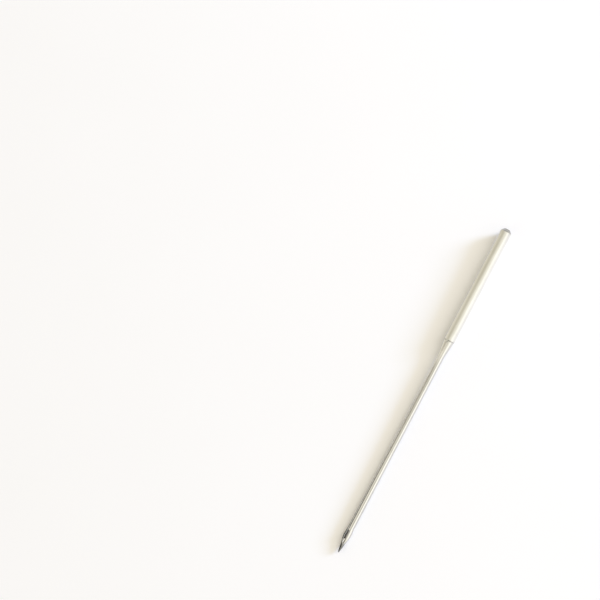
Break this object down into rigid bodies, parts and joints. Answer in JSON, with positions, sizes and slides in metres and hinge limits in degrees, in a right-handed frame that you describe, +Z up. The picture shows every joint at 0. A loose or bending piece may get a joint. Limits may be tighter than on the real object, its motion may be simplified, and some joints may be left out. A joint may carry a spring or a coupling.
{
  "type": "sewing machine needle",
  "caption": "Slim plated steel needle with a round shank, a tapered shoulder, a long thread groove down the blade, an eye just behind the point and a scarf opposite.",
  "frame": {"origin": "middle of the needle's bounding box, on the table that it lies on", "axes": "+X along the needle from the point to the butt, +Z up, the long groove facing up; the axis rises 0.71 degrees towards the butt, as the needle lies at rest"},
  "size_m": [0.0518, 0.0016, 0.0019],
  "materials": {
    "plated_steel": "ground and polished nickel-plated steel"
  },
  "bodies": {
    "root": {"needle": "plated_steel"}
  },
  "joints": []
}
